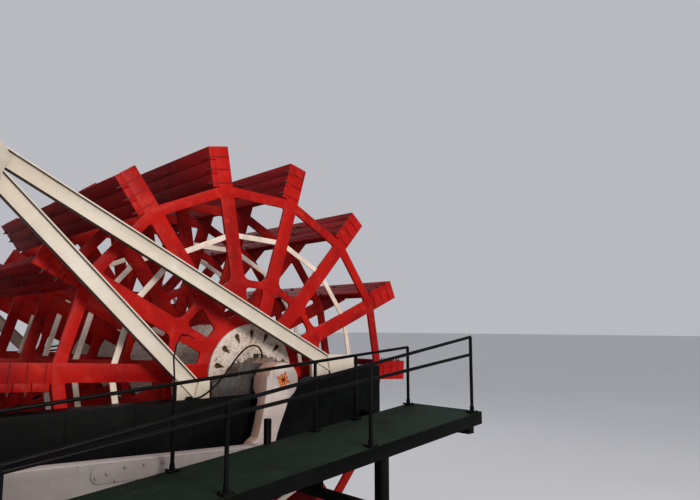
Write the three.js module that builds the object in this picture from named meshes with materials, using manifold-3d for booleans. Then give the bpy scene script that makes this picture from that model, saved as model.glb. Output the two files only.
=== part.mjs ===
// Stern wheel unit of a paddle steamer: the paddle wheel, its cranks and pitmans,
// and the stern frame that carries them, from the hull joint aft.
// Millimetres, +X aft, +Y to starboard, +Z up, origin on the hull joint.
// Every piece is drawn from the wheel's axis; the unit is moved as one at the end.
import * as THREE from 'three';
import { mergeVertices } from 'three/addons/utils/BufferGeometryUtils.js';
import Module from 'manifold-3d';

const wasm = await Module();
wasm.setup();

// Driving dimensions of the wheel.
const AXIS = { x: 4600, z: 1000 };
const WHEEL = { radius: 3835, width: 6250, arms: 14, firstArmDeg: -10, frames: 5 };
const ARM = { width: 262, thick: 45 };
const OUTER_RING = { vertexRadius: 3176, width: 170 };
const MIDDLE_RING = { vertexRadius: 1590, width: 125 };
const CREAM_RING = { vertexRadius: 2385, width: 90, thick: 24 };
const FLANGE = { radius: 1000, bore: 230, sides: 28 };
const FILLET = { flange: 35, insideMiddle: 90, outsideMiddle: 130, outer: 45 };
const BUCKET = { innerRadius: 3155, thick: 115, proud: 8 };
const HUB = {
  radius: 808,
  thick: 45,
  sleeve: 228,
  bossRadius: 400,
  bossThick: 50,
  slotRadius: 674,
  slotRound: 46,
  slotTip: 145,
  slotLagDeg: 3,
  slotTurn: 1.85,
  slotSteps: 5,
};
const SHAFT = { radius: 170, sides: 28, end: 925 };

// Crank and pitman, one pair each side; the starboard crank leads by a quarter turn.
const CRANK = {
  throw: 1219,
  portDeg: 197,
  quarterTurnDeg: -90,
  inner: 560,
  armInner: 720,
  outer: 920,
  headRadius: 290,
  headAlong: 75,
  headAside: -30,
  footRadius: 285,
  thinFrom: 280,
  thinAt: 440,
  halfWidths: [
    [75, 284], [180, 262], [340, 222], [500, 205], [700, 180], [860, 168], [985, 170], [1100, 255], [1219, 283],
  ],
};
const PIN = { radius: 115, sides: 20, proud: 400 };
const PITMAN = {
  length: 6100,
  riseDeg: 2.4,
  inner: 1000,
  outer: 1250,
  headRadius: 215,
  endDrop: 165,
  midDrop: 355,
  eyeBore: 95,
};

// Stern frame. Distances across are measured outward from the wheel's end face,
// heights and places along the boat from the shaft's axis.
const HULL_X = -AXIS.x;
const GIRDER = {
  inner: 120,
  outer: 500,
  topLine: [[HULL_X, -300], [420, -300], [950, -110], [2600, 45]],
  bottomLine: [[HULL_X, -1740], [900, -1740], [2600, -820]],
};
const TRANSOM = { thick: 300, bottom: -1740 };
const BEARING = {
  inner: 170,
  outer: 450,
  base: { forward: -988, aft: 640, top: [[-966, -75], [-810, -12], [560, -12]] },
  cap: [[-500, -20], [-500, 140], [-440, 188], [-230, 195], [-150, 262]],
  fitting: { x: [-150, -40], y: [300, 450], z: [240, 330] },
};
const POST = { x: -4300, wide: 240, top: 3300, centre: 360, foot: { reach: 120, thick: 36 } };
const GUSSET = {
  thick: 25,
  outline: [
    [-4300, 2250], [-4100, 2250], [-3985, 2700], [-3905, 2860], [-3960, 2990], [-4120, 3160], [-4300, 3160],
  ],
};
const TIE = { low: 2880, high: 3180, wide: 200 };
const BRACE = { depth: 240, wide: 120, flange: 22, web: 24, centre: 360, shoeWide: 76 };
const LONG_BRACE = {
  run: [[-4250, 3028], [2150, -255]],
  footRange: [960, 2590],
  shoe: [1028, 1405],
  foot: [[1450, -90], [2000, -90], [2000, 250], [1367, 278], [1420, 20]],
};
const SHORT_BRACE = {
  run: [[-4250, 2819], [-850, -520]],
  footRange: [-2200, 300],
  shoe: [-1562, -1262],
  foot: [[-1240, -350], [-1000, -350], [-1000, -34], [-1176, -34], [-1225, -200]],
};
const DECK = {
  inner: 1450,
  outer: 2950,
  slope: 0.1,
  level: -800,
  thick: 80,
  stern: 2400,
  fascia: 190,
  edge: 60,
};
const STUB = { x: [-730, -650], y: [1460, 1540], top: -520 };
const BRACKET = {
  wide: 140,
  deep: 120,
  stations: [[-4200, -1600], [-2000, -1600], [200, -1600], [2150, -760]],
};
// The heights of a rail's pipes over the deck are given at its forward and its aft end.
const RAIL = {
  radius: 24,
  sides: 8,
  plate: 70,
  plateThick: 22,
  lines: {
    inner: { line: 1530, heights: [[1115, 985]], stations: [-4400, -2145, 150, 1000, 2250] },
    outer: { line: 2870, heights: [[850, 1180], [795, 905]], stations: [-4400, -2200, 0, 2250] },
  },
};
const HOSE = {
  radius: 14,
  sides: 8,
  steps: 30,
  line: 464.3,
  clip: { x: [-1400, -1330.3], y: [436, 492], top: -250 },
  route: [
    [-1330, -281], [-1251, -281], [-1174, -267], [-1098, -234], [-1025, -189], [-953, -135], [-883, -74],
    [-814, -7], [-749, 63], [-687, 135], [-628, 208], [-568, 278], [-508, 340], [-447, 393], [-384, 433],
    [-321, 459], [-260, 469], [-204, 462], [-154, 439], [-115, 399], [-89, 340], [-80, 262],
  ],
};

// Gap between touching pieces.
const GAP = 0.3;
const FACE = WHEEL.width / 2;
const STEP_DEG = 360 / WHEEL.arms;

const PAINT = {
  wheelRed: new THREE.MeshStandardMaterial({ color: 0xc4271a, roughness: 0.55 }),
  bucketRed: new THREE.MeshStandardMaterial({ color: 0x8e1a16, roughness: 0.6 }),
  cream: new THREE.MeshStandardMaterial({ color: 0xe2ddcf, roughness: 0.5 }),
  crankWhite: new THREE.MeshStandardMaterial({ color: 0xe3dfe0, roughness: 0.45 }),
  hullBlack: new THREE.MeshStandardMaterial({ color: 0x14181a, roughness: 0.6 }),
  deckGreen: new THREE.MeshStandardMaterial({ color: 0x2f4a3f, roughness: 0.7 }),
  steel: new THREE.MeshStandardMaterial({ color: 0x74706a, roughness: 0.5, metalness: 0.7 }),
  hoseRubber: new THREE.MeshStandardMaterial({ color: 0x161616, roughness: 0.8 }),
};

const unit = new THREE.Group();
unit.position.set(AXIS.x, 0, AXIS.z);

function put(name, geometry, material) {
  const mesh = new THREE.Mesh(geometry, material);
  mesh.name = name;
  unit.add(mesh);
}

// A closed three.js geometry as a solid, and back.
function solid(geometry) {
  const bare = geometry.clone();
  bare.deleteAttribute('normal');
  bare.deleteAttribute('uv');
  const merged = mergeVertices(bare, 1e-3);
  return new wasm.Manifold(new wasm.Mesh({
    numProp: 3,
    vertProperties: new Float32Array(merged.attributes.position.array),
    triVerts: new Uint32Array(merged.index.array),
  }));
}

function geometryOf(body) {
  const mesh = body.getMesh();
  const geometry = new THREE.BufferGeometry();
  geometry.setAttribute('position', new THREE.BufferAttribute(mesh.vertProperties, 3));
  geometry.setIndex(new THREE.BufferAttribute(mesh.triVerts, 1));
  return geometry;
}

const joined = (parts) => parts.reduce((sum, part) => sum.add(part));

// Basic shapes: a box between corners, an XZ outline between two Y planes, a round bar along Y.
function box(x, y, z) {
  const geometry = new THREE.BoxGeometry(x[1] - x[0], y[1] - y[0], z[1] - z[0]);
  return geometry.translate((x[0] + x[1]) / 2, (y[0] + y[1]) / 2, (z[0] + z[1]) / 2);
}

function plate(shape, y) {
  const geometry = new THREE.ExtrudeGeometry(shape, { depth: y[1] - y[0], bevelEnabled: false });
  return geometry.rotateX(Math.PI / 2).translate(0, y[1], 0);
}

function outline(points) {
  return new THREE.Shape(points.map(([x, z]) => new THREE.Vector2(x, z)));
}

function roundBar(radius, y, sides, centre = [0, 0], turn = 0) {
  const geometry = new THREE.CylinderGeometry(radius, radius, y[1] - y[0], sides);
  return geometry.rotateY(turn).translate(centre[0], (y[0] + y[1]) / 2, centre[1]);
}

// Bores for a many-sided bar: one that fits on it flat to flat, and one that it turns in.
function keyedBore(bar, y, centre) {
  const radius = bar.radius + GAP / Math.cos(Math.PI / bar.sides);
  return solid(roundBar(radius, [y[0] - 5, y[1] + 5], bar.sides, centre));
}

function runningBore(bar, y, centre) {
  const step = Math.PI / bar.sides;
  return solid(roundBar((bar.radius + GAP) / Math.cos(step), [y[0] - 5, y[1] + 5], bar.sides, centre, step));
}

// Sides of the boat: distances outward from the wheel's end face become a Y span.
const SIDES = [{ name: 'port', sign: -1 }, { name: 'starboard', sign: 1 }];
function span(sign, inner, outer) {
  const a = sign * (FACE + inner);
  const b = sign * (FACE + outer);
  return [Math.min(a, b), Math.max(a, b)];
}

// Direction of a wheel angle, from +Z towards +X.
function spoke(deg) {
  const angle = THREE.MathUtils.degToRad(deg);
  return new THREE.Vector2(Math.sin(angle), Math.cos(angle));
}

const armDeg = (index) => WHEEL.firstArmDeg + index * STEP_DEG;
const eachArm = (make) => Array.from({ length: WHEEL.arms }, (_, index) => make(armDeg(index), index));

// A box on one spoke: tangential span t, radial span r, turned about the Y axis.
function spokeBox(deg, t, y, r) {
  return box(t, y, r).rotateY(THREE.MathUtils.degToRad(deg));
}

// A band of straight chords whose corners lie on the spokes.
function chordRing(ring, y) {
  const corners = (radius) => eachArm((deg) => spoke(deg).multiplyScalar(radius)).reverse();
  const shape = new THREE.Shape(corners(ring.vertexRadius));
  const drop = ring.width / Math.cos(Math.PI / WHEEL.arms);
  shape.holes.push(new THREE.Path(corners(ring.vertexRadius - drop)));
  return plate(shape, y);
}

// Points of an arc, in even steps from one angle to another, and of a whole circle.
function arc(radius, from, to, steps, centre = new THREE.Vector2()) {
  return Array.from({ length: steps + 1 }, (_, index) => {
    const angle = from + (to - from) * index / steps;
    return new THREE.Vector2(Math.cos(angle), Math.sin(angle)).multiplyScalar(radius).add(centre);
  });
}
const circle = (radius, sides) => arc(radius, 0, 2 * Math.PI, sides).slice(0, -1);

// The bays between arms: where their straight edges lie, how wide they are, and points in them.
const HALF_STEP = Math.PI / WHEEL.arms;
const flatOf = (vertexRadius) => vertexRadius * Math.cos(HALF_STEP);
const bayHalf = (out) => out * Math.tan(HALF_STEP) - ARM.width / 2 / Math.cos(HALF_STEP);

function beside(deg, across, out) {
  const along = spoke(deg);
  return new THREE.Vector2(along.y, -along.x).multiplyScalar(across).addScaledVector(along, out);
}

// A polygon with each corner rounded from the given reach along its two edges.
function rounded(corners, reaches, steps = 3) {
  return corners.flatMap((corner, index) => {
    const towards = (next) => corner.clone().add(next.clone().sub(corner).setLength(reaches[index]));
    const start = towards(corners.at(index - 1));
    const end = towards(corners[(index + 1) % corners.length]);
    return new THREE.QuadraticBezierCurve(start, corner, end).getPoints(steps);
  });
}

function bayWindow(deg, low, high, lowReach, highReach) {
  const corners = [
    beside(deg, -bayHalf(low), low),
    beside(deg, bayHalf(low), low),
    beside(deg, bayHalf(high), high),
    beside(deg, -bayHalf(high), high),
  ];
  return new THREE.Path(rounded(corners, [lowReach, lowReach, highReach, highReach]));
}

// Arm frames: flange, arms, outer and middle rings in one flush plate with rounded windows.
function frameShape() {
  const rim = flatOf(OUTER_RING.vertexRadius);
  const half = ARM.width / 2;
  const points = eachArm((deg) => [
    beside(deg - STEP_DEG / 2, bayHalf(rim), rim),
    beside(deg, -half, WHEEL.radius),
    beside(deg, half, WHEEL.radius),
    beside(deg + STEP_DEG / 2, -bayHalf(rim), rim),
  ]).flat().reverse();
  const shape = new THREE.Shape(points);
  shape.holes.push(new THREE.Path(circle(FLANGE.bore, FLANGE.sides)));
  const middle = flatOf(MIDDLE_RING.vertexRadius);
  eachArm((deg) => shape.holes.push(
    bayWindow(deg + STEP_DEG / 2, FLANGE.radius, middle - MIDDLE_RING.width, FILLET.flange, FILLET.insideMiddle),
    bayWindow(deg + STEP_DEG / 2, middle, rim - OUTER_RING.width, FILLET.outsideMiddle, FILLET.outer),
  ));
  return shape;
}

const FRAME_PITCH = (WHEEL.width - ARM.thick) / (WHEEL.frames - 1);
function armSpan(index, thick = ARM.thick) {
  const centre = (index - (WHEEL.frames - 1) / 2) * FRAME_PITCH;
  return [centre - thick / 2, centre + thick / 2];
}

// Cream rings run inside the arms' thickness, through a tunnel cut in every arm.
for (let index = 0; index < WHEEL.frames; index += 1) {
  const tunnel = {
    vertexRadius: CREAM_RING.vertexRadius + GAP / Math.cos(HALF_STEP),
    width: CREAM_RING.width + 2 * GAP,
  };
  const frame = solid(plate(frameShape(), armSpan(index)))
    .subtract(solid(chordRing(tunnel, armSpan(index, CREAM_RING.thick + 2 * GAP))));
  put(`arm_frame_${index + 1}`, geometryOf(frame), PAINT.wheelRed);
  put(`cream_ring_${index + 1}`, chordRing(CREAM_RING, armSpan(index, CREAM_RING.thick)), PAINT.cream);
}

// Buckets: one wide board on the leading side of each row of arms.
eachArm((deg, index) => {
  const near = -ARM.width / 2 - GAP;
  const across = FACE + BUCKET.proud;
  const depth = [BUCKET.innerRadius, WHEEL.radius];
  const board = spokeBox(deg, [near - BUCKET.thick, near], [-across, across], depth);
  put(`bucket_${String(index + 1).padStart(2, '0')}`, board, PAINT.bucketRed);
});

put('wheel_shaft', roundBar(SHAFT.radius, [-FACE - SHAFT.end, FACE + SHAFT.end], SHAFT.sides), PAINT.steel);

// A teardrop slot on one spoke, round end outward.
function teardrop(deg) {
  const out = spoke(deg);
  const tip = out.clone().multiplyScalar(HUB.slotRadius - HUB.slotTip);
  const centre = out.clone().multiplyScalar(HUB.slotRadius);
  const start = Math.atan2(out.y, out.x);
  const round = arc(HUB.slotRound, start - HUB.slotTurn, start + HUB.slotTurn, HUB.slotSteps, centre);
  return new THREE.Shape([tip, ...round]);
}

// Hubs: a disc on each face of a frame and a sleeve through its bore. The two end hubs
// have a boss and a slot in every bay on their outer disc.
['port', '2', '3', '4', 'starboard'].forEach((name, index) => {
  const [low, high] = armSpan(index);
  const whole = [low - HUB.thick, high + HUB.thick];
  let hub = joined([
    solid(roundBar(HUB.radius, [whole[0], low - GAP], 42)),
    solid(roundBar(HUB.radius, [high + GAP, whole[1]], 42)),
    solid(roundBar(HUB.sleeve, whole, 28)),
  ]);
  const side = SIDES.find((one) => one.name === name);
  if (side) {
    const through = span(side.sign, -5, HUB.thick + 5);
    const slots = eachArm((deg) => solid(plate(teardrop(deg + STEP_DEG / 2 - HUB.slotLagDeg), through)));
    const boss = span(side.sign, GAP, HUB.thick + HUB.bossThick);
    hub = hub.add(solid(roundBar(HUB.bossRadius, boss, 28))).subtract(joined(slots));
  }
  const bore = keyedBore(SHAFT, [whole[0] - HUB.bossThick, whole[1] + HUB.bossThick]);
  put(`hub_disc_${name}`, geometryOf(hub.subtract(bore)), PAINT.cream);
});

// Cranks: a round head keyed on the shaft's end, a thinner arm that tapers, and the pin.
const crankDeg = (side) => CRANK.portDeg + (side.sign > 0 ? CRANK.quarterTurnDeg : 0);

// The space behind a crank's arm, where it steps back from the depth of its head.
function behindArm(sign, out) {
  const reach = CRANK.throw * 1.5;
  const step = new THREE.Shape([
    new THREE.Vector2(CRANK.thinFrom, CRANK.inner - 20),
    new THREE.Vector2(reach, CRANK.inner - 20),
    new THREE.Vector2(reach, CRANK.armInner),
    new THREE.Vector2(CRANK.thinAt, CRANK.armInner),
    new THREE.Vector2(CRANK.thinFrom, CRANK.inner),
  ]);
  const geometry = new THREE.ExtrudeGeometry(step, { depth: reach, bevelEnabled: false });
  const along = new THREE.Vector3(out.x, 0, out.y);
  const outward = new THREE.Vector3(0, sign, 0);
  const across = along.clone().cross(outward);
  const turn = new THREE.Matrix4().makeBasis(along, outward, across);
  return solid(geometry.translate(0, FACE, -reach / 2).applyMatrix4(turn));
}

for (const side of SIDES) {
  const y = span(side.sign, CRANK.inner, CRANK.outer);
  const out = spoke(crankDeg(side));
  const across = new THREE.Vector2(out.y, -out.x);
  const pin = out.clone().multiplyScalar(CRANK.throw);
  const pinSpan = span(side.sign, CRANK.outer - 50, CRANK.outer + PIN.proud);
  const at = (along, aside) => out.clone().multiplyScalar(along).addScaledVector(across, aside).toArray();
  const arm = outline([
    ...CRANK.halfWidths.map(([along, half]) => at(along, -half)),
    ...CRANK.halfWidths.toReversed().map(([along, half]) => at(along, half)),
  ]);
  const crank = joined([
    solid(plate(arm, y)),
    solid(roundBar(CRANK.headRadius, y, 32, at(CRANK.headAlong, CRANK.headAside))),
    solid(roundBar(CRANK.footRadius, y, 32, pin.toArray())),
  ]).subtract(behindArm(side.sign, out))
    .add(solid(roundBar(PIN.radius, pinSpan, PIN.sides, pin.toArray())))
    .subtract(keyedBore(SHAFT, y));
  put(`crank_${side.name}`, geometryOf(crank), PAINT.crankWhite);
}

// Pitmans: box rods from the crank pin forward to the crosshead eye.
for (const side of SIDES) {
  const pin = spoke(crankDeg(side)).multiplyScalar(CRANK.throw);
  const forward = new THREE.Vector2(-1, Math.tan(THREE.MathUtils.degToRad(PITMAN.riseDeg))).normalize();
  const up = new THREE.Vector2(-forward.y, forward.x).multiplyScalar(-1);
  const at = (along, aside) => pin.clone().addScaledVector(forward, along).addScaledVector(up, aside).toArray();
  const y = span(side.sign, PITMAN.inner, PITMAN.outer);
  const end = PITMAN.length;
  const profile = [
    [150, PITMAN.endDrop],
    [end * 0.3, PITMAN.midDrop],
    [end * 0.6, PITMAN.midDrop],
    [end - 150, PITMAN.endDrop],
  ];
  const rod = outline([
    ...profile.map(([along, drop]) => at(along, -drop)),
    ...profile.toReversed().map(([along]) => at(along, PITMAN.headRadius)),
  ]);
  const eye = at(end, 0);
  const body = joined([
    solid(plate(rod, y)),
    solid(roundBar(PITMAN.headRadius, y, 28, pin.toArray())),
    solid(roundBar(PITMAN.headRadius, y, 28, eye)),
  ]);
  const bores = runningBore(PIN, y, pin.toArray())
    .add(solid(roundBar(PITMAN.eyeBore, [y[0] - 5, y[1] + 5], 20, eye)));
  put(`pitman_${side.name}`, geometryOf(body.subtract(bores)), PAINT.crankWhite);
}

// Stern girders, one box beam each side of the wheel with the hose's clip on top, and the transom
// that ties them.
function lineHeight(line, x) {
  const next = line.findIndex(([px]) => px >= x);
  const [[x0, z0], [x1, z1]] = [line[Math.max(next - 1, 0)], line[Math.max(next, 1)]];
  return z0 + (x - x0) * (z1 - z0) / (x1 - x0);
}
const girderTop = (x) => lineHeight(GIRDER.topLine, x);

for (const side of SIDES) {
  const beam = plate(
    outline([...GIRDER.bottomLine, ...GIRDER.topLine.toReversed()]),
    span(side.sign, GIRDER.inner, GIRDER.outer),
  );
  const clip = box(HOSE.clip.x, span(side.sign, ...HOSE.clip.y), [GIRDER.topLine[0][1] - 20, HOSE.clip.top]);
  put(`girder_${side.name}`, geometryOf(solid(beam).add(solid(clip))), PAINT.hullBlack);
}
const inside = FACE + GIRDER.inner - GAP;
const level = GIRDER.topLine[0][1];
const transom = box([HULL_X, HULL_X + TRANSOM.thick], [-inside, inside], [TRANSOM.bottom, level]);
put('transom', transom, PAINT.hullBlack);

// Bearing blocks: a base that follows the girder's top, a cap over the shaft and its grease fitting.
for (const side of SIDES) {
  const y = span(side.sign, BEARING.inner, BEARING.outer);
  const { base, cap, fitting } = BEARING;
  const seat = [base.aft, GIRDER.topLine[1][0], base.forward].map((x) => [x, girderTop(x) + GAP]);
  const block = joined([
    solid(plate(outline([...base.top, ...seat].reverse()), y)),
    solid(plate(outline([...cap, ...cap.toReversed().map(([x, z]) => [-x, z])]), y)),
    solid(box(fitting.x, span(side.sign, ...fitting.y), fitting.z)),
  ]);
  put(`bearing_block_${side.name}`, geometryOf(block.subtract(runningBore(SHAFT, y))), PAINT.steel);
}

// Posts at the hull joint with the gusset plates that hold the braces, tied across above the wheel.
for (const side of SIDES) {
  const half = POST.wide / 2;
  const y = span(side.sign, POST.centre - half, POST.centre + half);
  const foot = POST.foot;
  const parts = [
    box([POST.x - half, POST.x + half], y, [level + GAP, POST.top]),
    box([POST.x - half - foot.reach, POST.x + half + foot.reach], y, [level + GAP, level + foot.thick]),
  ];
  const cheek = BRACE.wide / 2 + GAP;
  for (const offset of [cheek, -cheek - GUSSET.thick]) {
    const from = POST.centre + offset;
    parts.push(plate(outline(GUSSET.outline), span(side.sign, from, from + GUSSET.thick)));
  }
  put(`post_${side.name}`, geometryOf(joined(parts.map(solid))), PAINT.cream);
}
const tieReach = FACE + POST.centre - POST.wide / 2 - GAP;
const tieAlong = [POST.x - TIE.wide / 2, POST.x + TIE.wide / 2];
put('tie_beam', box(tieAlong, [-tieReach, tieReach], [TIE.low, TIE.high]), PAINT.cream);

// Braces: I-section beams from the post's node down to the girder.
const leanOf = ([[x0, z0], [x1, z1]]) => Math.atan2(z0 - z1, x1 - x0);
const lengthOf = ([[x0, z0], [x1, z1]]) => Math.hypot(x1 - x0, z1 - z0);
const layAlong = (geometry, run) => geometry.rotateY(leanOf(run)).translate(run[0][0], 0, run[0][1]);

function iBeam(sign, run) {
  const length = lengthOf(run);
  const h = BRACE.depth / 2;
  const wide = span(sign, BRACE.centre - BRACE.wide / 2, BRACE.centre + BRACE.wide / 2);
  const thin = span(sign, BRACE.centre - BRACE.web / 2, BRACE.centre + BRACE.web / 2);
  const beam = joined([
    solid(box([0, length], wide, [h - BRACE.flange, h])),
    solid(box([0, length], wide, [-h, BRACE.flange - h])),
    solid(box([0, length], thin, [BRACE.flange / 2 - h, h - BRACE.flange / 2])),
  ]);
  return solid(layAlong(geometryOf(beam), run));
}

// The space that a brace fills between its flanges' outer faces, with a gap all round.
function iBeamHull(sign, run) {
  const h = BRACE.depth / 2 + GAP;
  return solid(layAlong(box([-500, lengthOf(run) + 500], span(sign, 0, 700), [-h, h]), run));
}

// The space below a line that lies a little above the girder's top.
function underLine(sign, ends, rise) {
  const low = ends.map((x) => [x, girderTop(x) - 900]);
  const high = ends.map((x) => [x, girderTop(x) + rise]);
  return solid(plate(outline([...low, ...high.toReversed()]), span(sign, 0, 700)));
}

for (const side of SIDES) {
  const postFace = POST.x + POST.wide / 2 + GAP;
  const postSpace = solid(box([postFace - 1000, postFace], span(side.sign, 0, 700), [0, 4000]));
  const longHull = iBeamHull(side.sign, LONG_BRACE.run);
  const wide = span(side.sign, BRACE.centre - BRACE.wide / 2, BRACE.centre + BRACE.wide / 2);
  const shoeWide = span(side.sign, BRACE.centre - BRACE.shoeWide / 2, BRACE.centre + BRACE.shoeWide / 2);
  const beyond = (x) => solid(box([x, x + 1000], span(side.sign, 0, 700), [-1500, 500]));
  const braced = (brace) => iBeam(side.sign, brace.run)
    .subtract(beyond(brace.foot[1][0]))
    .add(solid(plate(outline(brace.foot), wide)))
    .subtract(postSpace)
    .subtract(underLine(side.sign, brace.footRange, GAP));
  put(`long_brace_${side.name}`, geometryOf(braced(LONG_BRACE)), PAINT.cream);
  put(`short_brace_${side.name}`, geometryOf(braced(SHORT_BRACE).subtract(longHull)), PAINT.cream);

  // Shoes: wedges on the girder that fill the corner under each brace.
  for (const [name, brace] of [['long', LONG_BRACE], ['short', SHORT_BRACE]]) {
    const under = (BRACE.depth / 2 + GAP) / Math.cos(leanOf(brace.run));
    const low = brace.shoe.map((x) => [x, girderTop(x) + GAP]);
    const high = brace.shoe.map((x) => [x, lineHeight(brace.run, x) - under]);
    put(`${name}_shoe_${side.name}`, plate(outline([...low, ...high.toReversed()]), shoeWide), PAINT.cream);
  }
}

// Guard decks outboard of the pitman wells, rising aft, on brackets that pass under the cranks' sweep,
// each with a short stub post on its inner edge.
const deckTop = (x) => DECK.level + DECK.slope * x;
for (const side of SIDES) {
  const slab = (inner, outer, high, low, x0 = HULL_X, x1 = DECK.stern) => solid(plate(outline([
    [x0, deckTop(x0) - low], [x1, deckTop(x1) - low], [x1, deckTop(x1) - high], [x0, deckTop(x0) - high],
  ]), span(side.sign, inner, outer)));
  const parts = [
    slab(DECK.inner, DECK.outer, 0, DECK.thick),
    slab(DECK.inner, DECK.inner + DECK.edge, 0, DECK.fascia),
    slab(DECK.outer - DECK.edge, DECK.outer, 0, DECK.fascia),
    slab(DECK.inner, DECK.outer, 0, DECK.fascia, DECK.stern - DECK.edge, DECK.stern),
  ];
  for (const [x, beamTop] of BRACKET.stations) {
    const across = [x - BRACKET.wide / 2, x + BRACKET.wide / 2];
    const feet = [beamTop - BRACKET.deep, beamTop];
    parts.push(solid(box(across, span(side.sign, GIRDER.outer + GAP, DECK.outer - DECK.edge / 2), feet)));
    for (const inner of [DECK.inner + 5, DECK.outer - BRACKET.wide - 5]) {
      const rise = [beamTop - 5, deckTop(x) - DECK.thick / 2];
      parts.push(solid(box(across, span(side.sign, inner, inner + BRACKET.wide), rise)));
    }
  }
  parts.push(solid(box(STUB.x, span(side.sign, ...STUB.y), [deckTop(STUB.x[0]) - DECK.thick / 2, STUB.top])));
  put(`guard_deck_${side.name}`, geometryOf(joined(parts)), PAINT.deckGreen);
}

// Rails: pipe rails with stanchions and foot plates on the guard deck.
function pipe(from, to, radius = RAIL.radius) {
  const a = new THREE.Vector3(...from);
  const b = new THREE.Vector3(...to);
  const geometry = new THREE.CylinderGeometry(radius, radius, a.distanceTo(b), RAIL.sides);
  const turn = new THREE.Quaternion();
  turn.setFromUnitVectors(new THREE.Vector3(0, 1, 0), b.clone().sub(a).normalize());
  return solid(geometry.applyQuaternion(turn).translate(...a.add(b).multiplyScalar(0.5).toArray()));
}

for (const side of SIDES) {
  for (const [name, rail] of Object.entries(RAIL.lines)) {
    const y = side.sign * (FACE + rail.line);
    const [x0, x1] = [rail.stations[0], rail.stations.at(-1)];
    const over = ([first, last], x) => deckTop(x) + THREE.MathUtils.lerp(first, last, (x - x0) / (x1 - x0));
    const parts = rail.heights.map((ends) => pipe([x0, y, over(ends, x0)], [x1, y, over(ends, x1)]));
    for (const x of rail.stations) {
      const foot = deckTop(x + RAIL.plate) + GAP;
      const around = (at) => [at - RAIL.plate, at + RAIL.plate];
      parts.push(pipe([x, y, foot + 2], [x, y, over(rail.heights[0], x) + RAIL.radius], RAIL.radius + 3));
      parts.push(solid(box(around(x), around(y), [foot, foot + RAIL.plateThick])));
    }
    put(`rail_${name}_${side.name}`, geometryOf(joined(parts)), PAINT.hullBlack);
  }
}

// Grease hoses, each clipped to its girder and arched over to the bearing cap.
for (const side of SIDES) {
  const y = side.sign * (FACE + HOSE.line);
  const route = new THREE.CatmullRomCurve3(HOSE.route.map(([x, z]) => new THREE.Vector3(x, y, z)));
  const section = new THREE.Shape(circle(HOSE.radius, HOSE.sides));
  const sweep = { extrudePath: route, steps: HOSE.steps, bevelEnabled: false };
  const tube = new THREE.ExtrudeGeometry(section, sweep);
  put(`grease_hose_${side.name}`, geometryOf(solid(tube)), PAINT.hoseRubber);
}

export default unit;
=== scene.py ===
"""Looks of the stern paddle wheel unit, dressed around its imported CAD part.

Metres, +X aft, +Y to starboard, +Z up. The wheel turns about the line through AXLE along Y.
"""

import logging
import math
from dataclasses import dataclass
from enum import Enum
from typing import Any, Callable, Iterable, Sequence

import bpy
from mathutils import Matrix, Vector


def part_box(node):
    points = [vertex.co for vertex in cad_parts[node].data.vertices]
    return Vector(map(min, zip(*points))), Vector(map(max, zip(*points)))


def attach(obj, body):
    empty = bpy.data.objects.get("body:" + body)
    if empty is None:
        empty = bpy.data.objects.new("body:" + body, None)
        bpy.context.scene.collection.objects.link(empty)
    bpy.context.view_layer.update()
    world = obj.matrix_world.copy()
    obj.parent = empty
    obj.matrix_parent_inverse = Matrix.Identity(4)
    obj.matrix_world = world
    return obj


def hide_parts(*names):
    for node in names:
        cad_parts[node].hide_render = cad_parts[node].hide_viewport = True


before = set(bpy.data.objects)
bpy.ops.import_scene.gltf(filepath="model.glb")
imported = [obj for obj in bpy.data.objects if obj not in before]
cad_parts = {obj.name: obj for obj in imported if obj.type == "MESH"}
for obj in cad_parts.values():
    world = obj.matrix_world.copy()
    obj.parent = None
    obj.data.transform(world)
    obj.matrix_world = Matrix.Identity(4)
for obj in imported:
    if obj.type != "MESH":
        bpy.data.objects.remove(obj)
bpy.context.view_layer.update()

log = logging.getLogger("paddle_wheel_scene")

Point = tuple[float, float, float]
Pair = tuple[float, float]
Colour = tuple[float, float, float]
Piece = bpy.types.Object
Material = bpy.types.Material
Face = bpy.types.MeshPolygon
Choice = Callable[[Face], int]

AXLE = Vector((4.6, 0.0, 1.0))
END_FACE = 3.125
# The guard decks' top: its height from the axle, at the axle, and its rise aft.
DECK_LEVEL = -0.8
DECK_SLOPE = 0.1
# The gap that keeps a laid-on face clear of the one under it.
HAIR = 0.0003
HEXAGON = 6
WHEEL_BODY = "paddle_wheel"
FRAME_BODY = "stern_frame"


def deck_top(x: float) -> float:
    """Height of the guard decks' top over a place along the boat."""
    return AXLE.z + DECK_LEVEL + DECK_SLOPE * (x - AXLE.x)


class Side(Enum):
    """The two sides of the boat, with the sign of their Y."""

    PORT = -1.0
    STARBOARD = 1.0

    @property
    def label(self) -> str:
        """The side's name as the CAD nodes use it."""
        return self.name.lower()

    def out(self, distance: float) -> float:
        """The Y of a distance outward from the wheel's end face."""
        return self.value * (END_FACE + distance)

    def point(self, aft: float, outward: float, above: float) -> Vector:
        """A point by its distances aft of the axle, outward from the end face and above the axle."""
        return Vector((AXLE.x + aft, self.out(outward), AXLE.z + above))


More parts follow.
